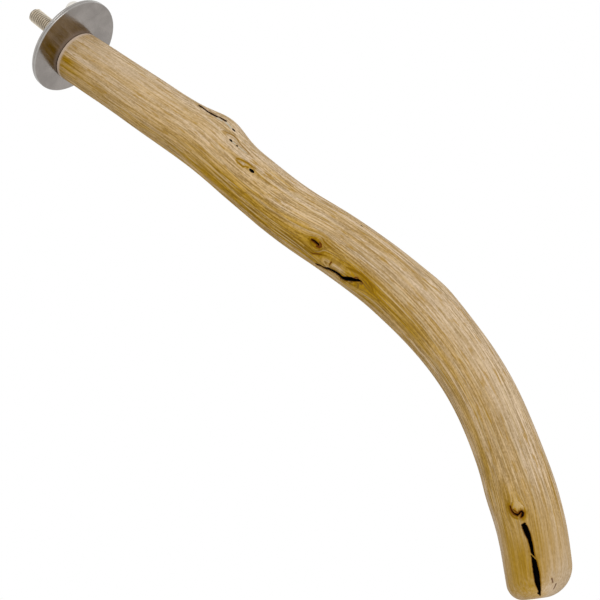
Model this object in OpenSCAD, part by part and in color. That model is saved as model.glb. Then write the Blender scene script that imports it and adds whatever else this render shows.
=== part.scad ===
// Bolt-on bird perch: a natural branch on a hanger bolt, clamped to cage bars between two
// large washers by a wing nut. Millimetres.
// The origin is on the bolt's axis at the clamp plane, where the cage bars go. +X runs into the
// cage along the branch, the branch bends in the XY plane towards -Y, and +Z is up.

/* [Branch] */
// Radius of the edge where the branch butts against its washer
butt_round = 0.5; // [0.5:0.1:3]
// How far the butt's cut leans towards the washer's face: 0 square to the branch, 1 flat on it
butt_lean = 0.8; // [0:0.05:1]
// Rounding of the free end on the inside of the bend
tip_round_in = 5; // [2:0.5:8]
// Rounding of the free end on the outside of the bend
tip_round_out = 10; // [4:0.5:10.5]
// Height of the side knot near the washer
knot_h = 2.2; // [0:0.1:4]
// Sides of the branch's cross-section
branch_sides = 28; // [16:2:36]
// Rings along the branch, without the ones that round its ends
branch_rings = 66; // [40:1:90]

/* [Bolt] */
// Thread diameter of the bolt, standard coarse M6
bolt_d = 6; // [5:1:8]
// How far the machine thread stands out of the clamp plane
stud_out = 24.5; // [20:0.5:60]
// How far the machine thread runs into the branch
stud_in = 5.5; // [3:0.5:10]
// Length of the wood thread beyond it, with its point
wood_thread_l = 25; // [15:2.5:40]
// Pitch of the wood thread
wood_pitch = 2.5; // [2:0.5:4]
// Core diameter of the wood thread
wood_core_d = 4.4; // [3.5:0.1:5]

/* [Washers] */
// Diameter of both washers
washer_d = 40; // [25:1:60]
// Thickness of each washer
washer_t = 1; // [0.8:0.1:3]
// Hole of both washers
washer_hole_d = 6.4; // [6.2:0.1:9]

/* [Wing nut] */
// Diameter of the nut's hub at its base
hub_base_d = 12.5; // [11:0.5:16]
// Diameter of the hub at its top
hub_top_d = 10.5; // [9:0.5:11]
// Height of the hub
hub_h = 7; // [5:0.5:10]
// Distance from tip to tip of the wings
wing_span = 30; // [24:1:40]
// Height of the wings above the base of the nut
wing_h = 11; // [9:0.5:17]
// Radius of the round end of a wing
wing_r = 4; // [3:0.5:5]
// Thickness of a wing
wing_t = 2.6; // [2:0.1:4]
// Turn of the wings from the Y axis about the bolt
wing_turn = 12; // [0:1:90]

/* [Hidden] */
bolt_r = bolt_d / 2;
tip_chamfer = 0.8;
thread_mark_w = 0.9;
thread_mark_depth = 0.35;
thread_clear = 0.05;
wood_core_r = wood_core_d / 2;
wood_crest_w = 0.4;
wood_point_l = 5;
wood_turns = floor((wood_thread_l - wood_point_l) / wood_pitch);
round_rings = 6;
butt_lean_l = 12;
cut_over = 1;

// The branch's natural course, one station every 24 mm of its length: x, y, z and its radius.
COURSE = [
    [1.3, -2.3, -4.7, 10.6],
    [25.4, -0.5, -2.3, 10.6],
    [49.5, 1, -1, 10.8],
    [73.5, 2.5, -0.5, 11],
    [97.5, 2, 0, 10.9],
    [121, 2, 0.5, 11.2],
    [145, 4, 0.5, 11.5],
    [169, 4.5, 0.5, 11.6],
    [192.5, 2, 0, 11.5],
    [215.5, -4.5, -0.5, 11.2],
    [237, -15.5, -1.5, 11.4],
    [256.5, -28.5, -2.5, 11.6],
    [274.7, -44.7, -3, 10.9]
];
spans = len(COURSE) - 1;
branch_l = 287;

// Swellings where side shoots grew: distance along the branch, angle around it from its
// +Y side, height, spread along and spread around in degrees.
SWELLINGS = [
    [75.5, 0, knot_h, 6.5, 45],
    [181, 0, 0.6, 6, 60],
    [251, 160, 0.5, 6, 60]
];

// Smooth curve through the stations, with the ends carried on straight.
function station(i) = i < 0 ? 2 * COURSE[0] - COURSE[1]
    : i > spans ? 2 * COURSE[spans] - COURSE[spans - 1]
    : COURSE[i];
function curve(a, b, c, d, t) =
    (2 * b + (c - a) * t + (2 * a - 5 * b + 4 * c - d) * t * t + (3 * b - a - 3 * c + d) * t * t * t) / 2;
function course_in(i, t) = curve(station(i - 1), station(i), station(i + 1), station(i + 2), t);
function course(u) = let (i = min(floor(u), spans - 1)) course_in(i, u - i);
function place(c) = [c.x, c.y, c.z];
function unit(v) = v / norm(v);
function heading(u) =
    unit(place(course(min(u + 0.02, spans))) - place(course(max(u - 0.02, 0))));

// Radius of the branch at a distance s along it and an angle a around it.
function swelling(k, s, a) =
    let (turn = abs(a - k[1]), around = min(turn, 360 - turn))
    k[2] * exp(-pow((s - k[0]) / k[3], 2) / 2) * exp(-pow(around / k[4], 2) / 2);
function swollen(s, a) = [for (k = SWELLINGS) swelling(k, s, a)] * [for (k = SWELLINGS) 1];
function rounded_off(radius, from_end) =
    let (k = max(0, (radius - from_end) / radius)) radius * (1 - sqrt(max(0, 1 - k * k)));
function tip_round(a) =
    (tip_round_out + tip_round_in) / 2 + cos(a) * (tip_round_out - tip_round_in) / 2;
function branch_r(s, a) =
    course(s / branch_l * spans)[3] + swollen(s, a)
    - rounded_off(butt_round, s) - rounded_off(tip_round(a), branch_l - s);

// One ring of points around the branch, counted from its +Y side. Near the butt the rings
// lean, because the branch was sawn nearly flat to the washer.
function branch_ring(s) =
    let (
        u = s / branch_l * spans,
        along = heading(u),
        side = unit(cross([0, 0, 1], along)),
        up = cross(along, side),
        lean = 1 - butt_lean * max(0, 1 - s / butt_lean_l)
    )
    [for (j = [0 : branch_sides - 1])
        let (a = 360 * j / branch_sides, out = branch_r(s, a) * (cos(a) * side + sin(a) * up))
        place(course(u)) + [lean * out.x, out.y, out.z]];

ring_places = concat(
    [for (i = [0 : round_rings - 1]) butt_round * (1 - cos(90 * i / round_rings))],
    [for (i = [0 : branch_rings - 1])
        butt_round + (branch_l - tip_round_out - butt_round) * i / (branch_rings - 1)],
    [for (i = [1 : 2 * round_rings])
        branch_l - tip_round_out * (1 - sin(45 * i / round_rings))]
);
rings = len(ring_places);

// A closed skin over all rings, with a flat fan over each end.
module skin_of_branch() {
    points = concat(
        [for (s = ring_places) each branch_ring(s)],
        [place(course(0)), place(course(spans))]
    );
    butt = rings * branch_sides;
    quads = [for (i = [0 : rings - 2], j = [0 : branch_sides - 1])
        let (
            k = (j + 1) % branch_sides,
            a = i * branch_sides + j,
            b = i * branch_sides + k,
            c = a + branch_sides,
            d = b + branch_sides
        )
        each [[a, b, c], [b, d, c]]];
    ends = [for (j = [0 : branch_sides - 1])
        let (k = (j + 1) % branch_sides, last = (rings - 1) * branch_sides)
        each [[butt, k, j], [butt + 1, last + j, last + k]]];
    polyhedron(points, concat(quads, ends));
}

// Turns a shape drawn about +Z so that it lies about +X.
module along_x() {
    rotate([0, 90, 0]) children();
}

module branch() {
    color([0.74, 0.58, 0.38])
        difference() {
            skin_of_branch();
            along_x() translate([0, 0, -cut_over])
                cylinder(r = bolt_r, h = stud_in + cut_over, $fn = 48);
            along_x() translate([0, 0, stud_in - cut_over])
                cylinder(r = wood_core_r, h = wood_thread_l + cut_over - wood_point_l, $fn = 48);
            along_x() translate([0, 0, stud_in + wood_thread_l - wood_point_l - 0.01])
                cylinder(r1 = wood_core_r, r2 = 0.3, h = wood_point_l, $fn = 48);
        }
}

// Half outline of the bolt from its free tip, through the thread groove just outside the nut,
// to the wood thread's ridges and point.
module bolt_outline() {
    groove = -(washer_t + hub_h + 0.4);
    ridge_start = stud_in + 0.5;
    ridges = [for (i = [0 : wood_turns - 1])
        let (x = ridge_start + i * wood_pitch)
        each [
            [wood_core_r, x],
            [bolt_r, x + (wood_pitch - wood_crest_w) / 2],
            [bolt_r, x + (wood_pitch + wood_crest_w) / 2],
            [wood_core_r, x + wood_pitch - 0.2]
        ]];
    polygon(concat(
        [
            [0, -stud_out],
            [bolt_r - tip_chamfer, -stud_out],
            [bolt_r, tip_chamfer - stud_out],
            [bolt_r, groove - thread_mark_w],
            [bolt_r - thread_mark_depth, groove - thread_mark_w],
            [bolt_r - thread_mark_depth, groove],
            [bolt_r, groove],
            [bolt_r, stud_in],
            [wood_core_r, stud_in]
        ],
        ridges,
        [
            [wood_core_r, stud_in + wood_thread_l - wood_point_l],
            [0.3, stud_in + wood_thread_l],
            [0, stud_in + wood_thread_l]
        ]
    ));
}

module hanger_bolt() {
    color([0.72, 0.71, 0.69])
        along_x() rotate_extrude($fn = 64) bolt_outline();
}

// A flat round washer whose outer face lies at x.
module washer(x) {
    color([0.76, 0.76, 0.75])
        along_x() translate([0, 0, x])
            difference() {
                cylinder(d = washer_d, h = washer_t, $fn = 128);
                translate([0, 0, -cut_over])
                    cylinder(d = washer_hole_d, h = washer_t + 2 * cut_over, $fn = 64);
            }
}

module inner_washer() {
    washer(0);
}

module outer_washer() {
    washer(-washer_t);
}

// One wing: a round end on a web that runs down into the hub, drawn with the radius across
// and the height above the nut's base up the page.
module wing_outline() {
    cx = wing_span / 2 - wing_r;
    cy = wing_h - wing_r;
    translate([cx, cy]) circle(r = wing_r, $fn = 48);
    polygon([
        [hub_base_d / 2 - 1.5, 0.6],
        [cx + wing_r * cos(-42), cy + wing_r * sin(-42)],
        [cx + wing_r * cos(125), cy + wing_r * sin(125)],
        [hub_top_d / 2 - 1.5, hub_h - 0.6]
    ]);
}

module wings() {
    for (side = [0, 180])
        rotate([0, 0, side]) rotate([90, 0, 0])
            linear_extrude(height = wing_t, center = true) wing_outline();
}

module wing_nut() {
    color([0.83, 0.81, 0.77])
        rotate([wing_turn, 0, 0]) translate([-washer_t, 0, 0]) rotate([0, -90, 0])
            rotate([0, 0, 90]) difference() {
                union() {
                    cylinder(d1 = hub_base_d, d2 = hub_top_d, h = hub_h, $fn = 64);
                    wings();
                }
                translate([0, 0, -cut_over])
                    cylinder(r = bolt_r + thread_clear, h = wing_h + 2 * cut_over, $fn = 64);
            }
}

branch();
hanger_bolt();
inner_washer();
outer_washer();
wing_nut();
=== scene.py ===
"""Looks of a bolt-on bird perch: a peeled branch on a hanger bolt, two washers and a wing nut."""
import math

import bpy
import numpy as np
from mathutils import Matrix, Vector


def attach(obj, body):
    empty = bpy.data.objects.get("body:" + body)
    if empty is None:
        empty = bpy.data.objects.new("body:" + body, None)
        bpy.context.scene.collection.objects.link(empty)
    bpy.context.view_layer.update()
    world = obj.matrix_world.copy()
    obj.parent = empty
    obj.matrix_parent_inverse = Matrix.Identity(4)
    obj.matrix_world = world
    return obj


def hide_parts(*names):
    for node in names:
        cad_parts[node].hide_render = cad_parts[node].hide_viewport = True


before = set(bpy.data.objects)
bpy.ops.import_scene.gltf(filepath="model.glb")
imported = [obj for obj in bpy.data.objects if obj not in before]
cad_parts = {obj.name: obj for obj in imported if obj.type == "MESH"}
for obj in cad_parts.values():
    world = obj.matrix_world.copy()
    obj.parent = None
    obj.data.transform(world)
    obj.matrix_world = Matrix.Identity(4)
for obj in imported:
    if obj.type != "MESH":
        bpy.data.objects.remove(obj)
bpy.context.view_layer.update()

bpy.ops.object.select_all(action="DESELECT")

# Camera
# It looks down on the perch from the free end's side, as the photograph was taken, so that the
# branch runs from the upper left corner of the picture to the lower right.
CAMERA_PLACE = Vector((0.3370, 0.0, 0.46596))
CAMERA_RIGHT = Vector((0.71152, 0.62455, -0.32199))
CAMERA_BACK = Vector((0.38245, 0.0402, 0.9231))
CAMERA_LENS = 84.68
CAMERA_SENSOR = 36.0

camera_up = CAMERA_BACK.cross(CAMERA_RIGHT)
bpy.ops.object.camera_add()
camera = bpy.context.object
camera.name = "photo_camera"
camera.matrix_world = Matrix.Translation(CAMERA_PLACE) @ Matrix(
    (CAMERA_RIGHT, camera_up, CAMERA_BACK)).transposed().to_4x4()
camera.data.lens = CAMERA_LENS
camera.data.sensor_width = CAMERA_SENSOR
camera.data.clip_start = 0.01
camera.data.clip_end = 20.0
bpy.context.scene.camera = camera

# Branch
# A hardwood branch about as thick as a thumb, peeled, dried and sanded, with its knots and
# drying cracks left in, and with a blind hole in its butt end for the bolt.
# All sizes are in mm, and MM turns them into metres.
MM = 0.001
# Points of a mesh that are closer than this, in metres, are merged.
MERGE = 0.000001
# The branch's natural course, one station every 24 mm of its length: x, y, z and its radius.
COURSE = np.array([
    [1.3, -2.3, -4.7, 10.6],
    [25.4, -0.5, -2.3, 10.6],
    [49.5, 1, -1, 10.8],
    [73.5, 2.5, -0.5, 11],
    [97.5, 2, 0, 10.9],
    [121, 2, 0.5, 11.2],
    [145, 4, 0.5, 11.5],
    [169, 4.5, 0.5, 11.6],
    [192.5, 2, 0, 11.5],
    [215.5, -4.5, -0.5, 11.2],
    [237, -15.5, -1.5, 11.4],
    [256.5, -28.5, -2.5, 11.6],
    [274.7, -44.7, -3, 10.9],
])
SPANS = len(COURSE) - 1
BRANCH_LENGTH = 287.0
# The butt's edge, how far its cut leans towards the washer's face and how far it is drawn up to
# it, and the length over which both fade out.
BUTT_ROUND = 0.2
BUTT_LEAN = 0.9
BUTT_PRESS = 0.14
BUTT_LEAN_LENGTH = 12.0
# Rounding of the free end on the inside and the outside of the bend.
TIP_ROUND_IN = 5.0
TIP_ROUND_OUT = 10.0
# Each swelling: distance along, angle around in degrees, height, spread along, spread around.
SWELLINGS = [(75.5, 0, 2.2, 6.5, 45), (181, 0, 0.6, 6, 60), (251, 160, 0.5, 6, 60)]
# The radius that turns angles around the branch into distances in its surface.
MEAN_RADIUS = 11.2
HOLE_RADIUS = 3.05
HOLE_DEPTH = 26.0
# Length over which the branch's heading is taken, counted in stations.
HEADING_STEP = 0.02


def course(u):
    """Centre and radius of the branch at u, which counts the stations of its course."""
    ends = np.vstack([2 * COURSE[0] - COURSE[1], COURSE, 2 * COURSE[-1] - COURSE[-2]])
    i = np.clip(np.floor(u).astype(int), 0, SPANS - 1)
    t = (u - i)[:, None]
    a, b, c, d = (ends[i + k] for k in range(4))
    return (2 * b + (c - a) * t + (2 * a - 5 * b + 4 * c - d) * t ** 2
            + (3 * b - a - 3 * c + d) * t ** 3) / 2


def unit(v):
    """Each row of v at a length of 1."""
    return v / np.linalg.norm(v, axis=1, keepdims=True)


def course_frame(s):
    """Centre, radius and the two directions square to the branch at a distance s along it."""
    u = s / BRANCH_LENGTH * SPANS
    place = course(u)
    ahead = course(np.minimum(u + HEADING_STEP, SPANS))
    behind = course(np.maximum(u - HEADING_STEP, 0))
    along = unit((ahead - behind)[:, :3])
    side = unit(np.cross([0.0, 0.0, 1.0], along))
    return place[:, :3], place[:, 3], side, np.cross(along, side)


def rounded_off(radius, from_end):
    """How much a rounded edge of this radius takes off at a distance from the end."""
    k = np.clip((radius - from_end) / radius, 0, 1)
    return radius * (1 - np.sqrt(1 - k * k))


def apart(angle, other):
    """Signed angle in degrees from other to angle."""
    return (angle - other + 180) % 360 - 180


def smooth(x):
    """A soft step from 0 to 1 as x goes from 0 to 1."""
    x = np.clip(x, 0, 1)
    return x * x * (3 - 2 * x)


# Marks are drawn in the surface as lines of points: distance along, angle around, half width.
# Drying cracks and slits come first. They are open, painted shade makes them black inside, and each
# has its depth.
TIP_CRACK = [(264.9, 91.4, 0.84), (267.3, 89.1, 0.80), (268.9, 87.4, 0.58), (271.1, 86.6, 0.48),
             (272.9, 86.6, 0.46), (274.5, 86.4, 0.52), (276.9, 85.6, 0.80), (280.0, 85.0, 0.94),
             (282.9, 85.3, 0.85), (284.7, 84.8, 0.52), (285.9, 86.2, 0.36)]
TIP_CRACK_HEAD = [(264.1, 94.4, 0.3), (263.8, 90.2, 0.3)]
BEND_CRACK = [(140.1, 155.6, 0.4), (142.2, 150.8, 0.38), (144.0, 149.2, 0.38),
              (145.0, 147.2, 0.44), (146.2, 143.4, 0.5), (148.9, 140.4, 0.6),
              (150.8, 140.2, 0.74), (152.3, 141.4, 0.74), (153.5, 139.8, 0.76),
              (155.0, 134.4, 0.82), (156.4, 130.2, 0.72), (157.7, 127.0, 0.54),
              (159.1, 122.6, 0.38), (160.3, 121.4, 0.12)]
KNOT_SLIT = [(63.2, 26.0, 0.3), (64.2, 28.0, 0.58), (65.9, 30.6, 0.26), (68.6, 34.2, 0.34),
             (70.9, 34.9, 0.4), (72.9, 34.3, 0.38), (73.5, 33.0, 0.18)]
SLIT_END = [(73.7, 31.6, 0.24), (74.6, 30.9, 0.36), (76.3, 29.1, 0.44)]
CRESCENT = [(257.0, 106.5, 0.1), (258.1, 106.6, 0.18), (258.9, 105.6, 0.2), (259.8, 103.5, 0.2),
            (260.1, 100.8, 0.28), (260.4, 98.7, 0.34), (260.2, 95.6, 0.26), (259.7, 92.8, 0.24),
            (259.7, 90.4, 0.3), (260.3, 89.4, 0.38), (260.9, 90.6, 0.38), (261.4, 93.1, 0.24)]
KNOT_FLECK = [(135.8, 112.0, 0.26), (136.4, 111.8, 0.34), (137.8, 112.4, 0.38),
              (138.9, 113.6, 0.4)]
CRACKS = [(TIP_CRACK, 3.6), (TIP_CRACK_HEAD, 3.0), (BEND_CRACK, 2.8), (KNOT_SLIT, 1.3),
          (SLIT_END, 1.2), (CRESCENT, 0.8), (KNOT_FLECK, 0.8),
          ([(281.7, 58.9, 0.13), (282.8, 56.4, 0.13)], 0.3),
          ([(283.4, 48.2, 0.13), (284.7, 49.8, 0.13)], 0.3)]
# A splinter that bridges the tip's crack.
SPLINTER = [(272.4, 93.4, 0.27), (276.0, 79.4, 0.27)]
SPLINTER_EDGE = 0.08
SPLINTER_SOFT = 0.1
# Each pit: distance along, angle around, half length, half width and depth.
PITS = [(81.2, 30.6, 0.75, 0.38, 0.8), (84.7, 53.3, 0.7, 0.34, 0.7), (88.0, 52.3, 0.42, 0.26, 0.35),
        (100.3, 73.4, 1.15, 0.5, 1.2), (146.1, 29.9, 0.5, 0.25, 0.3), (285.6, 89.5, 0.3, 0.3, 0.4)]
# Red-brown scars, without an opening.
SCARS = [[(139.0, 108.4, 0.28), (139.9, 110.4, 0.34), (140.2, 112.6, 0.36), (139.7, 116.2, 0.34),
          (138.4, 118.0, 0.28)],
         [(258.3, 103.2, 0.14), (259.2, 99.7, 0.2), (259.7, 97.6, 0.14)],
         [(146.4, 127.1, 0.3), (146.0, 134.5, 0.15)],
         [(156.8, 126.2, 0.12), (157.6, 121.6, 0.24), (158.6, 119.8, 0.14)],
         [(159.8, 121.4, 0.1), (160.6, 122.0, 0.2), (161.2, 123.6, 0.1)],
         [(136.8, 135.8, 0.06), (138.2, 135.0, 0.14), (140.0, 129.6, 0.18), (141.6, 125.8, 0.1)],
         [(151.8, 142.5, 0.22), (152.0, 148.0, 0.1)]]
# Thin golden-brown lines, most of them round the buried knots.
GILT_LINES = [[(92.2, 73.6, 0.02), (92.9, 71.4, 0.12), (94.4, 68.8, 0.2), (96.8, 66.2, 0.22),
               (99.2, 66.0, 0.14), (100.8, 65.2, 0.06)],
              [(92.5, 77.0, 0.02), (93.7, 78.5, 0.12), (94.8, 78.2, 0.18), (96.6, 78.2, 0.22),
               (97.0, 74.8, 0.16), (98.2, 73.2, 0.2)],
              [(254.8, 109.4, 0.05), (256.4, 110.0, 0.2), (258.6, 110.2, 0.3), (260.2, 107.6, 0.3),
               (261.2, 104.0, 0.28), (261.8, 99.0, 0.2)],
              [(79.6, 49.9, 0.1), (82.2, 44.6, 0.22), (83.4, 41.0, 0.22), (85.2, 40.4, 0.18),
               (87.6, 43.3, 0.18), (91.6, 45.1, 0.2), (96.0, 48.8, 0.1)],
              [(134.0, 133.0, 0.26), (136.1, 134.8, 0.36), (137.6, 136.4, 0.38),
               (139.1, 131.5, 0.3), (141.2, 126.8, 0.36), (143.8, 122.2, 0.14)],
              [(138.8, 99.0, 0.1), (140.4, 102.0, 0.26), (142.4, 103.6, 0.28), (145.4, 103.0, 0.1)],
              [(152.6, 116.6, 0.2), (154.4, 115.0, 0.4), (156.4, 113.2, 0.45), (158.8, 110.5, 0.4),
               (162.2, 112.0, 0.35), (164.6, 116.6, 0.3), (166.2, 123.0, 0.2)],
              [(135.2, 115.5, 0.14), (136.2, 119.0, 0.2), (138.4, 121.5, 0.24), (141.0, 118.0, 0.16)],
              [(265.0, 86.6, 0.1), (267.3, 84.2, 0.2), (271.1, 83.4, 0.22), (274.5, 82.4, 0.22),
               (276.9, 80.4, 0.24), (280.0, 79.0, 0.24), (282.9, 80.0, 0.22), (284.9, 81.2, 0.1)]]
# Pale grey chips and streaks where the surface has lifted.
ASH_LINES = [[(73.7, 37.2, 0.2), (75.6, 35.4, 0.3)], [(95.2, 73.2, 0.06), (95.9, 72.6, 0.06)],
             [(77.2, 31.9, 0.35), (78.6, 31.9, 0.42), (80.1, 32.4, 0.3)],
             [(85.5, 53.1, 0.2), (86.8, 52.7, 0.24)],
             [(88.9, 51.9, 0.2), (92.8, 51.2, 0.1)]]
# The grain parts round a knot: distance along, angle around, half its width across the grain,
# how many times longer than wide it is, and how clearly its grain closes in rings inside it.
KNOTS = [(138.3, 113.0, 1.7, 1.4, 0.8), (258.6, 95.5, 1.6, 1.0, 0.0), (96.6, 72.5, 0.9, 4.5, 0.0),
         (88.0, 50.0, 0.9, 6.0, 0.3), (71.0, 31.0, 1.3, 5.0, 0.2), (151.0, 129.0, 2.9, 3.6, 0.1),
         (206.0, 60.0, 0.8, 7.0, 0.0), (222.0, 262.0, 2.0, 2.2, 0.9), (118.0, 215.0, 1.8, 2.6, 0.8)]
# How golden the wood is: distance along, angle around, half length, half width, how much more.
TONES = [(7, 118, 6, 3.2, 0.2), (4.8, 113, 2.6, 0.9, 0.5), (255.5, 98, 4, 2.0, 0.2),
         (258.6, 96.4, 1.6, 1.2, 0.15), (92, 128, 20, 5.0, 0.24), (95.6, 73.2, 2.0, 0.6, -0.4),
         (128, 123, 24, 5.0, 0.5), (162, 122, 9, 5.0, 0.55), (182, 128, 16, 4.0, 0.3),
         (268, 50, 13, 4.0, 0.22), (149.8, 128, 6, 1.9, -0.42), (138, 113, 5, 3.0, 0.12),
         (270, 80, 14, 5.0, 0.22), (277, 108, 9, 4.5, 0.4), (157, 112, 4, 1.6, 0.3),
         (258, 103, 9, 3.0, 0.25), (109, 56, 10, 2.5, 0.16), (38, 25, 28, 8.0, -0.2),
         (212, 25, 30, 8.0, -0.3), (262, 157, 26, 3.0, -0.45), (206, 155, 20, 3.0, -0.2),
         (30, 76, 26, 7.0, -0.15), (116, 52, 18, 5.0, 0.16), (35, 150, 30, 5.0, 0.1),
         (92, 76, 32, 4.5, -0.13), (205, 112, 20, 5.0, -0.1), (119, 92, 6, 3.0, -0.2),
         (145, 102, 8, 4.0, 0.15), (140, 146, 4, 2.5, 0.25), (101, 91, 5, 3.0, -0.12),
         (284, 43, 5, 5.0, -0.25), (288, 110, 2, 9.0, -0.3),
         (70, 240, 30, 9.0, 0.3), (190, 225, 35, 7.0, 0.35), (240, 290, 25, 6.0, 0.25)]
# Where the streaks show less or, below 0, more, given in the same way.
CALM_SPOTS = [(32, 62, 32, 6.5, 0.28), (205, 60, 42, 6.0, 0.14), (116, 118, 18, 5.5, -0.22)]
# Where the wood is a little darker or, below 0, lighter, given in the same way.
SHADES = [(258, 70, 38, 9.0, 0.16), (75, 75, 55, 4.5, -0.12), (25, 125, 35, 3.5, -0.1),
          (156, 84, 16, 3.5, 0.12), (222, 100, 16, 2.5, 0.1), (286, 75, 3, 9.0, -0.5),
          (116, 62, 7, 3.0, 0.27), (96, 46, 7, 3.5, 0.15), (146, 96, 9, 3.5, 0.12),
          (158, 140, 4, 2.0, -0.2), (170, 64, 10, 3.0, 0.2), (170, 94, 6, 2.5, 0.18),
          (237, 74, 5, 3.0, 0.2), (244, 30, 12, 2.5, -0.22)]
# Colour that spreads beside the marks: on which lines, how strong and how far it reaches. The
# bend's crack is stained along its last part only.
STAINS = [([CRESCENT, KNOT_FLECK], 1.2, 0.8), ([BEND_CRACK[8:]], 0.6, 1.5),
          (GILT_LINES[:2] + SCARS, 0.5, 0.3)]
HALOS = [([line for line, _ in CRACKS], 0.75, 0.2), ([CRESCENT, KNOT_FLECK], 1.0, 0.28)]
GILDINGS = [([CRESCENT, KNOT_FLECK], 1.0, 0.6), ([TIP_CRACK], 0.6, 0.3)]
SPLINTER_GILT = 0.35
SCAR_SOFT = 0.3
LINE_SOFT = 0.4
# A painted line's soft edge lies mostly outside it.
EDGE_OUTSIDE = 0.6
# A pale rim round the butt's edge: partly its pale sanded wood, partly a painted highlight on the
# rounded edge.
RIM_WIDTH = 1.0
RIM_SOFT = 0.9
RIM_FADE = 8
# The top of the branch, as an angle around it.
TOP = 90
# Wood between the marks: its palest tone, how much more golden it is on the flank that the
# branch bends towards, and over which angles that comes in.
PALE_TONE = 0.10
GOLD_MORE = 0.34
GOLD_SIDE = 140
GOLD_REACH = 105
GOLD_SOFT = 95
# Streaks: how clearly they show, how much more half way along and on the flanks, and how far
# they fade out towards the sanded tip.
STREAKS = 0.86
MIDDLE_MORE = 0.38
MIDDLE = 118
MIDDLE_REACH = 30
FLANK_MORE = 0.5
FLANK_FROM = 38
FLANK_SOFT = 22
TIP_CALM = 0.76
TIP_CALM_FROM = 250
TIP_CALM_OVER = 24
# How dark the wood is between the shades.
PLAIN_DARKNESS = 0.25
# Waves: height, seed, length along and the most of them that go round the branch. They make the
# sanded surface uneven, the cracks' edges jagged and the grain wander.
SANDED_WAVES = [(0.10, 3, 30, 4), (0.035, 5, 22, 17), (0.02, 8, 14, 40)]
JAGGED_EDGE = (0.12, 31, 2.4, 90)
GRAIN_WANDER = (0.7, 21, 90, 2)
RIPPLE_WAVES = 8
SHORTEST_WAVE = 0.6
LONGEST_WAVE = 1.8
# How far the sanded surface lies inside the plain branch on average.
SANDED_OFF = 0.12
# A crack's wall falls away within a short width, beside a low lip. Shallow cracks get only a little
# of the painted shade.
WALL_FROM = 0.07
WALL_WIDTH = 0.22
LIP_HEIGHT = 0.07
LIP_REACH = 0.5
SHALLOW_DEPTH = 1.0
SHALLOW_PAINTED_SHADE = 0.17
# A pit's wall, in shares of its size.
PIT_FROM = 1.25
PIT_SOFT = 0.6
# The dead knot in the middle of the branch is sunk inside a low rim.
DEAD_KNOT = (*KNOTS[0][:2], 2.2, 1.8)
KNOT_SUNK = 0.12
KNOT_RIM = 0.14
KNOT_RIM_AT = 1.15
KNOT_RIM_WIDTH = 0.3


def line_distance(s, angle, line):
    """Distance from a mark's line in the surface, less the mark's half width there."""
    best = np.full(len(s), np.inf)
    for (s0, a0, w0), (s1, a1, w1) in zip(line[:-1], line[1:]):
        du, dv = s1 - s0, math.radians(a1 - a0) * MEAN_RADIUS
        pu, pv = s - s0, np.radians(apart(angle, a0)) * MEAN_RADIUS
        t = np.clip((pu * du + pv * dv) / (du * du + dv * dv), 0, 1)
        gap = np.hypot(pu - t * du, pv - t * dv) - (w0 + (w1 - w0) * t)
        best = np.minimum(best, gap)
    return best


def spot_distance(s, angle, spot):
    """1 at the edge of an oval spot, less inside it and more outside."""
    at, around, half_length, half_width = spot
    pu = (s - at) / half_length
    pv = np.radians(apart(angle, around)) * MEAN_RADIUS / half_width
    return np.hypot(pu, pv)


def lines_distance(s, angle, lines):
    """Distance from the edge of the nearest of several lines."""
    return np.min([line_distance(s, angle, line) for line in lines], axis=0)


def near_lines(s, angle, lines, soft):
    """1 on the lines, falling to 0 over a soft edge."""
    return smooth((EDGE_OUTSIDE * soft - lines_distance(s, angle, lines)) / soft)


def off_splinter(s, angle):
    """0 on the splinter and 1 beside it."""
    return smooth((line_distance(s, angle, SPLINTER) + SPLINTER_EDGE) / SPLINTER_SOFT)


def soft_spots(s, angle, spots):
    """Sum of soft oval spots: distance along, angle around, half length, half width, height."""
    total = np.zeros(len(s))
    for *spot, height in spots:
        total += height * np.exp(-spot_distance(s, angle, spot) ** 2)
    return total


def marks_near(s, angle, reach):
    """True where a point is close to a line or a pit and needs a finer mesh."""
    lines = [line for line, _ in CRACKS] + SCARS + GILT_LINES + ASH_LINES
    near = lines_distance(s, angle, lines) < reach
    for at, around, half_length, half_width, _ in PITS:
        grown = (at, around, half_length + reach, half_width + reach)
        near |= spot_distance(s, angle, grown) < 1
    return near


def ripple(s, angle, height, seed, along, around):
    """Smooth unevenness up to a height either way, as waves that close round the branch."""
    draw = np.random.default_rng(seed)
    total = np.zeros(len(s))
    for _ in range(RIPPLE_WAVES):
        turns = draw.integers(1, around + 1)
        total += np.sin(2 * math.pi * s / (along * draw.uniform(SHORTEST_WAVE, LONGEST_WAVE))
                        + turns * np.radians(angle) + draw.uniform(0, 2 * math.pi))
    return height * total / RIPPLE_WAVES


def branch_relief(s, angle):
    """Height of the sanded surface against the plain branch, and the painted shade in its cracks and
    pits.
    """
    relief = sum(ripple(s, angle, *wave) for wave in SANDED_WAVES) - SANDED_OFF
    painted_hollow_shade = np.zeros(len(s))
    jagged = ripple(s, angle, *JAGGED_EDGE)
    for line, depth in CRACKS:
        gap = line_distance(s, angle, line) + jagged
        wall = smooth((WALL_FROM - gap) / WALL_WIDTH)
        if line is TIP_CRACK:
            wall = wall * off_splinter(s, angle)
        lip = LIP_HEIGHT * np.exp(-(np.maximum(gap, 0) / LIP_REACH) ** 2) * (1 - wall)
        relief += lip - depth * wall
        # The painted shade inside a crack, slight for shallow ones.
        painted_hollow_shade = np.maximum(painted_hollow_shade, wall * (1.0 if depth > SHALLOW_DEPTH else SHALLOW_PAINTED_SHADE))
    for *pit, depth in PITS:
        wall = smooth((PIT_FROM - spot_distance(s, angle, pit)) / PIT_SOFT)
        relief -= depth * wall
        painted_hollow_shade = np.maximum(painted_hollow_shade, wall)
    edge = spot_distance(s, angle, DEAD_KNOT)
    relief += KNOT_RIM * np.exp(-((edge - KNOT_RIM_AT) / KNOT_RIM_WIDTH) ** 2)
    relief -= KNOT_SUNK * smooth(1 - edge)
    return relief, painted_hollow_shade


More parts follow.
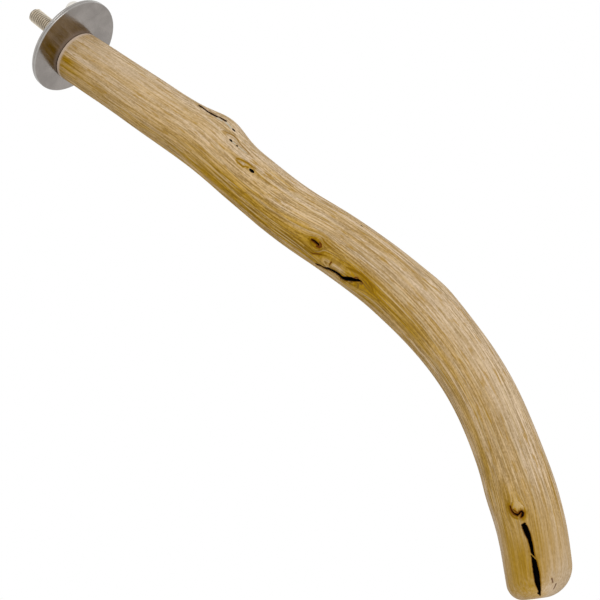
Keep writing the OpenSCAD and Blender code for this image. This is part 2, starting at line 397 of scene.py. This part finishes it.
def grain_flow(s, angle):
    """Where the grain at a point comes from: its lines part round knots and wander a little."""
    v = np.zeros(len(s))
    for at, around, width, longer, rings in KNOTS:
        dv = np.radians(apart(angle, around)) * MEAN_RADIUS
        far = np.hypot((s - at) / longer, dv) / width
        outside = -dv / np.maximum(far, 1) ** 2
        inside = rings * width * (1 - far) + (1 - rings) * dv * (1 - far ** 2) - dv
        v += np.where(far > 1, outside, inside)
    v += ripple(s, angle, *GRAIN_WANDER)
    return angle + np.degrees(v / MEAN_RADIUS)


def golden_tone(s, angle):
    """From 0, the palest wood, to 1, the deepest golden."""
    golden = smooth((GOLD_REACH - np.abs(apart(angle, GOLD_SIDE))) / GOLD_SOFT)
    return PALE_TONE + GOLD_MORE * golden + soft_spots(s, angle, TONES)


def figure(s, angle):
    """How clearly the wood's streaks show: less on the tip, which is sanded across its grain."""
    strength = STREAKS + MIDDLE_MORE * np.exp(-((s - MIDDLE) / MIDDLE_REACH) ** 2)
    strength += FLANK_MORE * smooth((np.abs(apart(angle, TOP)) - FLANK_FROM) / FLANK_SOFT)
    strength -= soft_spots(s, angle, CALM_SPOTS)
    return strength * (1 - TIP_CALM * smooth((s - TIP_CALM_FROM) / TIP_CALM_OVER))


# The surface starts as a flat sheet. Its rows run from the bottom of the hole over the butt end
# and along to the tip, and each row is then rolled round the branch.
HOLE_ROWS = 8
BUTT_ROWS = 10
EDGE_ROWS = 6
SIDE_ROWS = 430
TIP_ROWS = 22
CAP_ROWS = 12
BRANCH_AROUND = 112
# The mesh is finer near the marks: within this distance, by this many cuts.
FINE_REACH = 0.75
FINE_CUTS = 4
# How fast the relief fades out over the butt's face and over the tip's cap.
BUTT_FADE = 20
CAP_FADE = 3
# The share of the hole's rows that run down its wall. The rest close its bottom.
HOLE_WALL = 0.8
edge_turn = np.linspace(0, 90, EDGE_ROWS, endpoint=False)
tip_turn = np.linspace(0, 90, TIP_ROWS)
row_along = np.concatenate([
    np.zeros(HOLE_ROWS + BUTT_ROWS),
    BUTT_ROUND * (1 - np.cos(np.radians(edge_turn))),
    np.linspace(BUTT_ROUND, BRANCH_LENGTH - TIP_ROUND_OUT, SIDE_ROWS, endpoint=False),
    BRANCH_LENGTH - TIP_ROUND_OUT * (1 - np.sin(np.radians(tip_turn))),
    np.full(CAP_ROWS, BRANCH_LENGTH),
])
rows = len(row_along)
numbers = np.arange(rows)
# How far a row has gone down the hole, in from the butt's edge, and in over the tip's cap.
row_hole = np.concatenate([np.linspace(1, 0, HOLE_ROWS, endpoint=False),
                           np.zeros(rows - HOLE_ROWS)])
row_butt = np.concatenate([np.ones(HOLE_ROWS), np.linspace(1, 0, BUTT_ROWS, endpoint=False),
                           np.zeros(rows - HOLE_ROWS - BUTT_ROWS)])
row_cap = np.concatenate([np.zeros(rows - CAP_ROWS), np.linspace(0, 1, CAP_ROWS + 1)[1:]])

bpy.ops.mesh.primitive_grid_add(x_subdivisions=rows - 1, y_subdivisions=BRANCH_AROUND, size=1)
branch = bpy.context.object
branch.name = "peeled_branch"
mesh = branch.data


def sheet_places(flat):
    """Row number and angle of points of the flat sheet."""
    return (flat[:, 0] + 0.5) * (rows - 1), (flat[:, 1] + 0.5) * 360


def points_of(piece):
    """The points of a piece's mesh as rows of x, y and z."""
    found = np.zeros(len(piece.data.vertices) * 3)
    piece.data.vertices.foreach_get("co", found)
    return found.reshape(-1, 3)


def place_points(piece, places):
    """Moves the points of a piece's mesh to places given in mm."""
    piece.data.vertices.foreach_set("co", (np.array(places) * MM).ravel())


def close_up(threshold=MERGE):
    """Merges doubled points of the active piece and turns its faces outwards."""
    bpy.ops.object.mode_set(mode="EDIT")
    bpy.ops.mesh.select_all(action="SELECT")
    bpy.ops.mesh.remove_doubles(threshold=threshold)
    bpy.ops.mesh.normals_make_consistent(inside=False)
    bpy.ops.object.mode_set(mode="OBJECT")


centres = np.zeros(len(mesh.polygons) * 3)
mesh.polygons.foreach_get("center", centres)
row, angle = sheet_places(centres.reshape(-1, 3))
s = np.interp(row, numbers, row_along)
on_side = (row > HOLE_ROWS + BUTT_ROWS) & (row < rows - CAP_ROWS)
bpy.ops.object.mode_set(mode="EDIT")
bpy.ops.mesh.select_mode(type="FACE")
bpy.ops.mesh.select_all(action="DESELECT")
bpy.ops.object.mode_set(mode="OBJECT")
mesh.polygons.foreach_set("select", marks_near(s, angle, FINE_REACH) & on_side)
bpy.ops.object.mode_set(mode="EDIT")
bpy.ops.mesh.subdivide(number_cuts=FINE_CUTS, smoothness=0, ngon=False)
bpy.ops.object.mode_set(mode="OBJECT")

row, angle = sheet_places(points_of(branch))
s = np.interp(row, numbers, row_along)
hole, butt, cap = (np.interp(row, numbers, way) for way in (row_hole, row_butt, row_cap))
centre, radius, side, up = course_frame(s)
turn = np.radians(angle)
round_way = np.cos(turn)[:, None] * side + np.sin(turn)[:, None] * up
for at, around, height, spread, wide in SWELLINGS:
    radius = radius + height * np.exp(-((s - at) / spread) ** 2 / 2
                                      - (apart(angle, around) / wide) ** 2 / 2)
tip_round = TIP_ROUND_IN + (TIP_ROUND_OUT - TIP_ROUND_IN) * (1 + np.cos(turn)) / 2
radius = radius - rounded_off(BUTT_ROUND, s) - rounded_off(tip_round, BRANCH_LENGTH - s)
relief, painted_hollow_shade = branch_relief(s, angle)
fade = (1 - smooth(butt * BUTT_FADE)) * (1 - smooth(cap * CAP_FADE))
relief = relief * fade
painted_hollow_shade = painted_hollow_shade * fade
outward = ((radius * (1 - cap)) + relief)[:, None] * round_way

# The butt was sawn nearly flat to the washer and is drawn up to it, so the rows lean and move
# in there. Its face runs in to the mouth of the hole round the bolt's axis, and down the hole.
lean = 1 - BUTT_LEAN * np.clip(1 - s / BUTT_LEAN_LENGTH, 0, 1)
outward[:, 0] *= lean
centre[:, 0] -= BUTT_PRESS * smooth(1 - s / BUTT_LEAN_LENGTH)
place = centre + outward
butt_normal = np.cross(side, up)
butt_normal[:, 1:] *= lean[:, None]
mouth = np.stack([np.zeros(len(s)), HOLE_RADIUS * np.cos(turn), HOLE_RADIUS * np.sin(turn)], axis=1)
mouth[:, 0] = ((centre - mouth) * butt_normal).sum(1) / butt_normal[:, 0]
in_face = butt[:, None]
place = place * (1 - in_face) + mouth * in_face
down = np.clip(hole / HOLE_WALL, 0, 1)
closing = np.clip((hole - HOLE_WALL) / (1 - HOLE_WALL), 0, 1)
hole_wall = mouth.copy()
hole_wall[:, 0] += (HOLE_DEPTH - mouth[:, 0]) * down
hole_wall[:, 1:] *= (1 - closing)[:, None]
place = np.where((hole > 0)[:, None], hole_wall, place)
place_points(branch, place)

# The grain's own coordinates: the branch as if it were straight, with the grain's flow taken out.
flow_angle = np.radians(grain_flow(s, angle))
reach = np.linalg.norm(place - centre, axis=1)
grain = np.stack([reach * np.cos(flow_angle), reach * np.sin(flow_angle), s], axis=1)
mesh.attributes.new("grain", "FLOAT_VECTOR", "POINT").data.foreach_set("vector", grain.ravel())


def store(name, values):
    """Keeps a value at each point of the branch for its material."""
    mesh.attributes.new(name, "FLOAT", "POINT").data.foreach_set("value", values)


def spread_beside(marks):
    """The strongest of several colours, each of which falls away smoothly beside its lines."""
    shares = []
    for lines, strength, reach in marks:
        gap = np.maximum(lines_distance(s, angle, lines), 0)
        shares.append(strength * np.exp(-(gap / reach) ** 2))
    return np.max(shares, axis=0)


beside = off_splinter(s, angle)
halo = spread_beside(HALOS) * beside
gilded = np.maximum(spread_beside(GILDINGS) * beside, SPLINTER_GILT * (1 - beside))
store("painted_hollow_shade", painted_hollow_shade)
store("scar", np.maximum(halo, near_lines(s, angle, SCARS, SCAR_SOFT)))
store("gilt", np.maximum(gilded, near_lines(s, angle, GILT_LINES, LINE_SOFT)))
store("ash", near_lines(s, angle, ASH_LINES, LINE_SOFT))
store("tone", golden_tone(s, angle) + spread_beside(STAINS))
store("figure", figure(s, angle))
store("darkness", PLAIN_DARKNESS + soft_spots(s, angle, SHADES))
store("rim", (1 - smooth((s - RIM_WIDTH) / RIM_SOFT)) * (1 - smooth(butt * RIM_FADE)))
close_up(2 * MERGE)
bpy.ops.object.shade_smooth_by_angle(angle=math.radians(50))


def ramp(tree, source, stops):
    """A colour or a grey that runs through stops as its source goes from 0 to 1."""
    node = tree.nodes.new("ShaderNodeValToRGB")
    tree.links.new(source, node.inputs["Fac"])
    while len(node.color_ramp.elements) < len(stops):
        node.color_ramp.elements.new(0.5)
    for element, (at, colour) in zip(node.color_ramp.elements, stops):
        element.position = at
        element.color = (*colour, 1.0) if isinstance(colour, tuple) else (colour,) * 3 + (1.0,)
    return node.outputs["Color"]


def blend_colour(tree, amount, first, second, mode="MIX"):
    """The first colour with an amount of the second in it."""
    node = tree.nodes.new("ShaderNodeMix")
    node.data_type = "RGBA"
    node.blend_type = mode
    for socket, value in ((0, amount), (6, first), (7, second)):
        if isinstance(value, tuple):
            node.inputs[socket].default_value = (*value, 1.0)
        elif isinstance(value, float):
            node.inputs[socket].default_value = value
        else:
            tree.links.new(value, node.inputs[socket])
    return node.outputs[2]


def reckon(tree, how, *values):
    """A sum, a product or the like of numbers and sockets."""
    node = tree.nodes.new("ShaderNodeMath")
    node.operation = how
    for socket, value in enumerate(values):
        if isinstance(value, (int, float)):
            node.inputs[socket].default_value = value
        else:
            tree.links.new(value, node.inputs[socket])
    return node.outputs[0]


def swing(tree, noise, size):
    """Noise about 0, from minus half its size to plus half its size."""
    return reckon(tree, "MULTIPLY_ADD", noise, size, -size / 2)


def streaks(tree, where, across, along, detail=3.0, seed=0.0, rough=0.55):
    """Noise drawn out along the third axis, in waves per unit of length across and along it."""
    mapping = tree.nodes.new("ShaderNodeMapping")
    mapping.inputs["Scale"].default_value = (across, across, along)
    mapping.inputs["Location"].default_value = (seed, seed * 1.7, seed * 0.6)
    tree.links.new(where, mapping.inputs["Vector"])
    noise = tree.nodes.new("ShaderNodeTexNoise")
    noise.inputs["Scale"].default_value = 1.0
    noise.inputs["Detail"].default_value = detail
    noise.inputs["Roughness"].default_value = rough
    tree.links.new(mapping.outputs[0], noise.inputs["Vector"])
    return noise.outputs["Fac"]


def attribute(tree, name, output="Fac"):
    """A value that is kept at each point of the mesh."""
    node = tree.nodes.new("ShaderNodeAttribute")
    node.attribute_name = name
    return node.outputs[output]


WOOD_TONES = [(0.0, (0.720, 0.550, 0.372)), (0.2, (0.675, 0.482, 0.268)),
              (0.4, (0.637, 0.428, 0.186)), (0.6, (0.582, 0.364, 0.096)),
              (0.8, (0.527, 0.310, 0.035)), (1.0, (0.466, 0.255, 0.007))]
# The butt's rim: pale sanded wood with a painted highlight.
PALE_RIM_AND_HIGHLIGHT = (0.650, 0.510, 0.390)
FURROW = (0.489, 0.449, 0.342)
PALE_LINE = (0.640, 0.490, 0.290)
DARK_LINE = (0.230, 0.120, 0.012)
FLECK = (0.380, 0.215, 0.030)
GILT = (0.250, 0.125, 0.002)
ASH = (0.520, 0.470, 0.370)
SCAR = (0.125, 0.030, 0.002)
# Near black inside cracks and pits: painted shade in their hollows.
CRACK_PAINTED_SHADE = (0.002, 0.0015, 0.0015)
CLEAR_EDGES = [(0.40, 0.0), (0.60, 1.0)]

wood = bpy.data.materials.new("bare_branch_wood")
wood.use_nodes = True
tree = wood.node_tree
shader = tree.nodes["Principled BSDF"]
grain_place = attribute(tree, "grain", "Vector")
mottle = streaks(tree, grain_place, across=0.13, along=0.030, detail=2.0, seed=3.1)
bands = streaks(tree, grain_place, across=0.42, along=0.013, detail=2.0, seed=11.7)
lines = streaks(tree, grain_place, across=1.9, along=0.055, detail=2.0, seed=5.3)
threads = streaks(tree, grain_place, across=2.8, along=0.10, detail=2.0, seed=8.9)
pale_lines = streaks(tree, grain_place, across=1.5, along=0.035, detail=1.0, seed=17.4)
dark_lines = streaks(tree, grain_place, across=1.6, along=0.045, detail=2.0, seed=23.8)
ticks = streaks(tree, grain_place, across=2.6, along=0.30, detail=1.0, seed=14.2)
freckles = streaks(tree, grain_place, across=1.4, along=0.9, detail=1.0, seed=31.3)
flecks = streaks(tree, grain_place, across=1.15, along=0.16, detail=1.0, seed=37.9)
grit = streaks(tree, grain_place, across=2.2, along=1.2, detail=1.0, seed=43.6)
lines = ramp(tree, lines, CLEAR_EDGES)
threads = ramp(tree, threads, CLEAR_EDGES)

# Broad bands, mottling and fine lines make the wood more or less golden.
tone_here = attribute(tree, "tone")
strength = attribute(tree, "figure")
band_share = reckon(tree, "MULTIPLY", swing(tree, bands, 1.25),
                    reckon(tree, "MULTIPLY_ADD", strength, 0.7, 0.35))
tone = reckon(tree, "ADD", tone_here, band_share)
tone = reckon(tree, "ADD", tone, swing(tree, mottle, 0.6))
tone = reckon(tree, "ADD", tone, swing(tree, lines, 0.16))
base = ramp(tree, tone, WOOD_TONES)
# Lines, threads and grit darken it where the streaks show, and freckles and shades everywhere.
furrow = reckon(tree, "ADD", reckon(tree, "MULTIPLY_ADD", lines, 0.51, -0.5),
                reckon(tree, "MULTIPLY", threads, 0.46))
furrow = reckon(tree, "ADD", furrow, swing(tree, grit, 1.1))
furrow = reckon(tree, "MULTIPLY_ADD", furrow, strength,
                reckon(tree, "MULTIPLY_ADD", freckles, 0.5, attribute(tree, "darkness")))
base = blend_colour(tree, furrow, base, blend_colour(tree, 1.0, base, FURROW, "MULTIPLY"))
# Over it lie lines, ticks and flecks: the noise levels where each begins and is full, how much
# it then covers, how that grows with the golden tone, what it is without that, and its colour.
calm = reckon(tree, "MINIMUM", strength, 1.0)
for noise, begins, full, cover, with_tone, without, colour in (
        (pale_lines, 0.58, 0.68, 0.6, 0.0, 1.0, PALE_LINE),
        (dark_lines, 0.57, 0.66, 1.0, 0.75, 0.12, DARK_LINE),
        (ticks, 0.62, 0.69, 0.5, 1.9, 0.3, DARK_LINE),
        (flecks, 0.60, 0.68, 0.7, 0.0, 1.0, FLECK)):
    share = reckon(tree, "MULTIPLY", ramp(tree, noise, [(begins, 0.0), (full, cover)]),
                   reckon(tree, "MULTIPLY_ADD", tone_here, with_tone, without))
    base = blend_colour(tree, reckon(tree, "MULTIPLY", share, calm), base, colour)
# The marks lie over all of it.
# The butt's rim is lightened: pale sanded wood, with a painted highlight on its rounded edge.
base = blend_colour(tree, attribute(tree, "rim"), base, PALE_RIM_AND_HIGHLIGHT)
for mark, share, colour in (("ash", 0.8, ASH), ("gilt", 0.97, GILT), ("scar", 0.97, SCAR)):
    base = blend_colour(tree, reckon(tree, "MULTIPLY", attribute(tree, mark), share), base, colour)
# Cracks and pits are blackened inside: painted shade in their hollows.
base = blend_colour(tree, ramp(tree, attribute(tree, "painted_hollow_shade"), [(0.04, 0.0), (0.16, 1.0)]), base,
                    CRACK_PAINTED_SHADE)
tree.links.new(base, shader.inputs["Base Color"])
tree.links.new(ramp(tree, lines, [(0.0, 0.58), (1.0, 0.72)]), shader.inputs["Roughness"])
shader.inputs["Specular IOR Level"].default_value = 0.05
bump = tree.nodes.new("ShaderNodeBump")
bump.inputs["Strength"].default_value = 0.4
bump.inputs["Distance"].default_value = 0.0001
tree.links.new(reckon(tree, "MULTIPLY_ADD", threads, -0.5, lines), bump.inputs["Height"])
tree.links.new(bump.outputs[0], shader.inputs["Normal"])
mesh.materials.clear()
mesh.materials.append(wood)
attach(branch, "arm")
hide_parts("branch")

# Hanger bolt
# One plain steel rod: an M6 machine thread that stands out of the branch's butt end, rolled right
# up to its chamfered tip, and a coarse wood thread with a point that is screwed into the wood.
ROD_RADIUS = 3.0
STUD_TIP = -24.5
STUD_END = 5.5
STUD_PITCH = 1.0
# One turn of a thread: share of the pitch and radius.
STUD_THREAD = [(0.0, 2.92), (0.035, 2.985), (0.10, 2.985), (0.135, 2.92), (0.42, 2.43),
               (0.48, 2.39), (0.66, 2.39), (0.72, 2.43)]
TIP_CHAMFER = 0.8
WOOD_END = 30.45
WOOD_PITCH = 2.5
WOOD_THREAD = [(0.0, 2.2), (0.28, 2.24), (0.455, 2.93), (0.545, 2.93), (0.72, 2.24)]
WOOD_TAPER = 5.0
POINT_RADIUS = 0.1
# The two threads run into each other by this much where they join.
THREADS_OVERLAP = 0.5
# A thread is wound by this many turns before its start and past its end, and then cut square.
TURNS_BEFORE = 2
TURNS_PAST = 1
ROD_AROUND = 56


def rolled_thread(start, end, pitch, profile):
    """A right-handed thread between two places on the bolt's axis, as a closed piece."""
    points = len(profile)
    count = (int((end - start) / pitch) + TURNS_BEFORE + TURNS_PAST) * points
    bpy.ops.mesh.primitive_grid_add(x_subdivisions=count - 1, y_subdivisions=ROD_AROUND, size=1)
    rod = bpy.context.object
    flat = points_of(rod)
    i = np.rint((flat[:, 0] + 0.5) * (count - 1)).astype(int)
    around = flat[:, 1] + 0.5
    share, radius = (np.array(column)[i % points] for column in zip(*profile))
    x = start + (i // points + share + around - TURNS_BEFORE) * pitch
    turn = 2 * math.pi * around
    place_points(rod, np.stack([x, radius * np.cos(turn), radius * np.sin(turn)], axis=1))
    close_up()
    bpy.ops.object.mode_set(mode="EDIT")
    for cut, way in ((start, -1), (end, 1)):
        bpy.ops.mesh.select_all(action="SELECT")
        bpy.ops.mesh.bisect(plane_co=(cut * MM, 0, 0), plane_no=(way, 0, 0), use_fill=True,
                            clear_outer=True, threshold=MERGE)
    bpy.ops.object.mode_set(mode="OBJECT")
    close_up()
    return rod


def narrow(rod, limit):
    """Draws the rod's points in to the largest radius that the limit gives at their place."""
    places = points_of(rod) / MM
    radius = np.hypot(places[:, 1], places[:, 2])
    most = limit(places[:, 0])
    places[:, 1:] *= (np.minimum(radius, most) / np.maximum(radius, 1e-6))[:, None]
    place_points(rod, places)


def pointed(x):
    """Largest radius of the wood thread, which tapers to its point."""
    taper = np.clip((WOOD_END - x) / WOOD_TAPER, 0, 1)
    return POINT_RADIUS + (ROD_RADIUS - POINT_RADIUS) * taper


def chamfered(x):
    """Largest radius of the stud, whose tip is chamfered."""
    return ROD_RADIUS - np.clip(TIP_CHAMFER - (x - STUD_TIP), 0, TIP_CHAMFER)


def join_by(kind, first, second):
    """First, after the second is added to it or cut from it. The second is used up."""
    bpy.ops.object.select_all(action="DESELECT")
    bpy.context.view_layer.objects.active = first
    first.select_set(True)
    step = first.modifiers.new("join", "BOOLEAN")
    step.operation = kind
    step.solver = "EXACT"
    step.object = second
    bpy.ops.object.modifier_apply(modifier=step.name)
    bpy.data.objects.remove(second)


bpy.ops.object.select_all(action="DESELECT")
screw_half = rolled_thread(STUD_END - THREADS_OVERLAP, WOOD_END, WOOD_PITCH, WOOD_THREAD)
narrow(screw_half, pointed)
hanger = rolled_thread(STUD_TIP, STUD_END, STUD_PITCH, STUD_THREAD)
narrow(hanger, chamfered)
join_by("UNION", hanger, screw_half)
hanger.name = "threaded_hanger_bolt"
bpy.ops.object.shade_smooth_by_angle(angle=math.radians(32))


def metal(name, colour, roughness, scuff, across, along, patches=160.0, painted_light_by_radius=None):
    """Bare metal with fine scuffs along Z and cloudy patches, both in waves per metre.

    Painted light by radius is two radii about the bolt's axis in mm, between which a darker colour
    gives way to the metal's own further out, and that darker colour. It paints shade into a thread's
    roots and a highlight onto a washer's rim.
    """
    made = bpy.data.materials.new(name)
    made.use_nodes = True
    tree = made.node_tree
    shader = tree.nodes["Principled BSDF"]
    shader.inputs["Metallic"].default_value = 1.0
    place = tree.nodes.new("ShaderNodeTexCoord").outputs["Object"]
    scratches = streaks(tree, place, across, along, detail=4.0, seed=2.3, rough=0.7)
    cloud = streaks(tree, place, patches, patches, detail=3.0, seed=7.1)
    if painted_light_by_radius:
        within, beyond, inner_colour = painted_light_by_radius
        flat = tree.nodes.new("ShaderNodeVectorMath")
        flat.operation = "MULTIPLY"
        flat.inputs[1].default_value = (0.0, 1.0, 1.0)
        tree.links.new(place, flat.inputs[0])
        off_axis = tree.nodes.new("ShaderNodeVectorMath")
        off_axis.operation = "LENGTH"
        tree.links.new(flat.outputs[0], off_axis.inputs[0])
        share = tree.nodes.new("ShaderNodeMapRange")
        share.inputs["From Min"].default_value = within * MM
        share.inputs["From Max"].default_value = beyond * MM
        tree.links.new(off_axis.outputs["Value"], share.inputs["Value"])
        colour = blend_colour(tree, share.outputs[0], inner_colour, colour)
    patina = ramp(tree, cloud, [(0.35, 0.82), (0.65, 1.0)])
    tree.links.new(blend_colour(tree, 1.0, colour, patina, "MULTIPLY"), shader.inputs["Base Color"])
    tree.links.new(ramp(tree, scratches, [(0.3, roughness), (0.7, roughness + scuff)]),
                   shader.inputs["Roughness"])
    bump = tree.nodes.new("ShaderNodeBump")
    bump.inputs["Strength"].default_value = 0.15
    bump.inputs["Distance"].default_value = 0.00002
    tree.links.new(scratches, bump.inputs["Height"])
    tree.links.new(bump.outputs[0], shader.inputs["Normal"])
    return made


hanger.data.materials.clear()
# The thread's roots are darkened inside a radius of 2.5 to 2.9 mm: painted shade in the thread's
# hollows.
hanger.data.materials.append(metal(
    "plain_stud_steel", (0.92, 0.83, 0.68), roughness=0.34, scuff=0.2, across=2500.0,
    along=2500.0, patches=1100.0, painted_light_by_radius=(2.5, 2.9, (0.24, 0.20, 0.15))))
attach(hanger, "arm")
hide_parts("hanger_bolt")

# Washers
# Two polished stainless penny washers, stamped from 1 mm sheet, so their edges are a little
# rounded. The inner one lies against the branch's butt end, the outer one behind the bars.
WASHER_RADIUS = 20.0
WASHER_HOLE = 3.2
WASHER_THICK = 1.0
WASHER_EDGE = 0.26
WASHER_STEPS = 192
# The washers' faces keep this far off the clamp plane, so that the two don't share one plane.
WASHER_CLEAR = 0.01
# Their faces are darker than the metal's own colour at the very edge, which carries a painted
# highlight round the rim.
washer_steel = metal(
    "polished_washer_steel", (0.40, 0.38, 0.358), roughness=0.05, scuff=0.24, across=3000.0,
    along=300.0, painted_light_by_radius=(19.76, 19.92, (0.310, 0.283, 0.262)))


def spun_ring(name, corners, edge, steps):
    """A ring about the bolt's axis, spun from an outline of four corners that are rounded."""
    bpy.ops.object.select_all(action="DESELECT")
    bpy.ops.mesh.primitive_plane_add(size=1)
    ring = bpy.context.object
    ring.name = name
    place_points(ring, [(x, radius, 0) for x, radius in corners])
    bpy.ops.object.mode_set(mode="EDIT")
    bpy.ops.mesh.select_all(action="SELECT")
    bpy.ops.mesh.bevel(offset=edge * MM, segments=4, affect="VERTICES")
    bpy.ops.mesh.select_all(action="SELECT")
    bpy.ops.mesh.delete(type="ONLY_FACE")
    bpy.ops.mesh.select_all(action="SELECT")
    bpy.ops.mesh.spin(steps=steps, angle=2 * math.pi, center=(0, 0, 0), axis=(1, 0, 0))
    bpy.ops.object.mode_set(mode="OBJECT")
    close_up()
    bpy.ops.object.shade_smooth_by_angle(angle=math.radians(30))
    return ring


for name, node, side in (("inner_penny_washer", "inner_washer", 1),
                         ("outer_penny_washer", "outer_washer", -1)):
    near, far = side * WASHER_CLEAR, side * WASHER_THICK
    washer = spun_ring(name, [(near, WASHER_HOLE), (far, WASHER_HOLE),
                              (near, WASHER_RADIUS), (far, WASHER_RADIUS)],
                       WASHER_EDGE, WASHER_STEPS)
    washer.data.materials.append(washer_steel)
    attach(washer, node)
    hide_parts(node)

# Wing nut
# A low wing nut with two round wings, cast in steel and tumbled, so that all its edges are soft.
# It turns on the stud and presses the outer washer against the bars.
NUT_BASE = -1.0
HUB_HEIGHT = 7.0
HUB_BASE_RADIUS = 6.25
HUB_TOP_RADIUS = 5.25
HUB_EDGE = 0.35
HUB_STEPS = 96
# The hub is drawn with a narrow core, and its bore is drilled once it is cast.
CORE_RADIUS = 2.0
NUT_BORE = 3.05
DRILL_LENGTH = 40.0
WING_CENTRE = 11.0
WING_CENTRE_HEIGHT = 7.0
WING_RADIUS = 4.0
WING_THICK = 2.6
WING_AROUND = 64
WING_TURN = math.radians(12)
# Where a wing's web meets its round end, as turns about the middle of that end.
WEB_LOW = math.radians(-42)
WEB_HIGH = math.radians(125)
# How deep the web runs into the hub, and how far it keeps from the hub's base and top.
WEB_SINK = 1.5
WEB_EDGE = 0.6
# The cast skin's grain, and how many times it is smoothed.
CAST_VOXEL = 0.17
TUMBLING = 14

top = NUT_BASE - HUB_HEIGHT
nut = spun_ring("cast_wing_nut", [(top, CORE_RADIUS), (NUT_BASE, CORE_RADIUS),
                                  (top, HUB_TOP_RADIUS), (NUT_BASE, HUB_BASE_RADIUS)],
                HUB_EDGE, HUB_STEPS)


def on_wing_end(turn):
    """A point of a wing's round end: its distance from the axis and above the base."""
    return (WING_CENTRE + WING_RADIUS * math.cos(turn),
            WING_CENTRE_HEIGHT + WING_RADIUS * math.sin(turn))


# The web's corners, told apart by whether they are at the hub and whether they are low.
WEB_CORNERS = {
    (True, True): (HUB_BASE_RADIUS - WEB_SINK, WEB_EDGE),
    (True, False): (HUB_TOP_RADIUS - WEB_SINK, HUB_HEIGHT - WEB_EDGE),
    (False, True): on_wing_end(WEB_LOW),
    (False, False): on_wing_end(WEB_HIGH),
}
for side in (1, -1):
    bpy.ops.mesh.primitive_cylinder_add(
        vertices=WING_AROUND, radius=WING_RADIUS * MM, depth=WING_THICK * MM,
        location=((NUT_BASE - WING_CENTRE_HEIGHT) * MM, side * WING_CENTRE * MM, 0.0))
    wing_end = bpy.context.object
    bpy.ops.object.transform_apply(location=True, rotation=True, scale=True)
    bpy.ops.mesh.primitive_cube_add(size=1)
    web = bpy.context.object
    shaped = []
    for x, y, z in points_of(web):
        across, height = WEB_CORNERS[bool(x < 0), bool(y < 0)]
        shaped.append((NUT_BASE - height, side * across, z * WING_THICK))
    place_points(web, shaped)
    close_up()
    join_by("UNION", nut, web)
    join_by("UNION", nut, wing_end)

cast = nut.modifiers.new("cast", "REMESH")
cast.mode = "VOXEL"
cast.voxel_size = CAST_VOXEL * MM
bpy.ops.object.modifier_apply(modifier=cast.name)
tumbled = nut.modifiers.new("tumbled", "SMOOTH")
tumbled.factor = 0.5
tumbled.iterations = TUMBLING
bpy.ops.object.modifier_apply(modifier=tumbled.name)
bpy.ops.mesh.primitive_cylinder_add(
    vertices=HUB_STEPS, radius=NUT_BORE * MM / math.cos(math.pi / HUB_STEPS),
    depth=DRILL_LENGTH * MM, rotation=(0, math.pi / 2, 0))
drill = bpy.context.object
bpy.ops.object.transform_apply(location=True, rotation=True, scale=True)
join_by("DIFFERENCE", nut, drill)
nut.rotation_euler = (WING_TURN, 0.0, 0.0)
bpy.ops.object.transform_apply(location=False, rotation=True, scale=False)
bpy.ops.object.shade_smooth_by_angle(angle=math.radians(45))
nut.data.materials.clear()
nut.data.materials.append(metal("cast_nut_steel", (0.80, 0.77, 0.71), roughness=0.28,
                                scuff=0.16, across=1200.0, along=1200.0))
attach(nut, "wing_nut")
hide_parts("wing_nut")

# Studio
# A white floor well below the perch, which hangs in the air by its clamp, and soft light from
# the upper right. The camera, gloss and glass see the floor and the sky as plain white.
PERCH_MIDDLE = Vector((0.14, 0.0, 0.0))
FLOOR_SIZE = 8.0
FLOOR_PLACE = PERCH_MIDDLE - Vector((0.0, 0.0, 0.35))
AMBIENT = 0.72
LAMP_PLACE = Vector((0.45, 0.55, 0.95))
LAMP_SIZE = 0.7
LAMP_WATTS = 5.0


def seen_as_white(tree):
    """1 for what the camera, gloss or glass sees, 0 for the light that matt surfaces get."""
    light_path = tree.nodes.new("ShaderNodeLightPath")
    in_gloss_or_glass = reckon(tree, "MAXIMUM", light_path.outputs["Is Glossy Ray"],
                               light_path.outputs["Is Transmission Ray"])
    return reckon(tree, "MAXIMUM", light_path.outputs["Is Camera Ray"], in_gloss_or_glass)


bpy.ops.object.select_all(action="DESELECT")
bpy.ops.mesh.primitive_plane_add(size=FLOOR_SIZE, location=FLOOR_PLACE)
floor = bpy.context.object
floor.name = "studio_floor"
floor_paint = bpy.data.materials.new("white_floor")
floor_paint.use_nodes = True
tree = floor_paint.node_tree
shader = tree.nodes["Principled BSDF"]
shader.inputs["Base Color"].default_value = (0.8, 0.8, 0.8, 1.0)
shader.inputs["Roughness"].default_value = 0.9
glow = tree.nodes.new("ShaderNodeEmission")
glow.inputs["Color"].default_value = (1.0, 1.0, 1.0, 1.0)
glow.inputs["Strength"].default_value = 1.0
mix = tree.nodes.new("ShaderNodeMixShader")
tree.links.new(seen_as_white(tree), mix.inputs["Fac"])
tree.links.new(shader.outputs[0], mix.inputs[1])
tree.links.new(glow.outputs[0], mix.inputs[2])
tree.links.new(mix.outputs[0], tree.nodes["Material Output"].inputs["Surface"])
floor.data.materials.append(floor_paint)

world = bpy.data.worlds.new("studio_sky")
bpy.context.scene.world = world
world.use_nodes = True
tree = world.node_tree
sky = tree.nodes["Background"]
sky.inputs["Color"].default_value = (1.0, 1.0, 1.0, 1.0)
tree.links.new(reckon(tree, "MAXIMUM", seen_as_white(tree), AMBIENT), sky.inputs["Strength"])

bpy.ops.object.light_add(type="AREA", location=LAMP_PLACE)
lamp = bpy.context.object
lamp.name = "key_softbox"
lamp.data.size = LAMP_SIZE
lamp.data.energy = LAMP_WATTS
lamp.rotation_mode = "QUATERNION"
lamp.rotation_quaternion = (PERCH_MIDDLE - LAMP_PLACE).to_track_quat("-Z", "Y")
bpy.context.scene.view_settings.view_transform = "Standard"
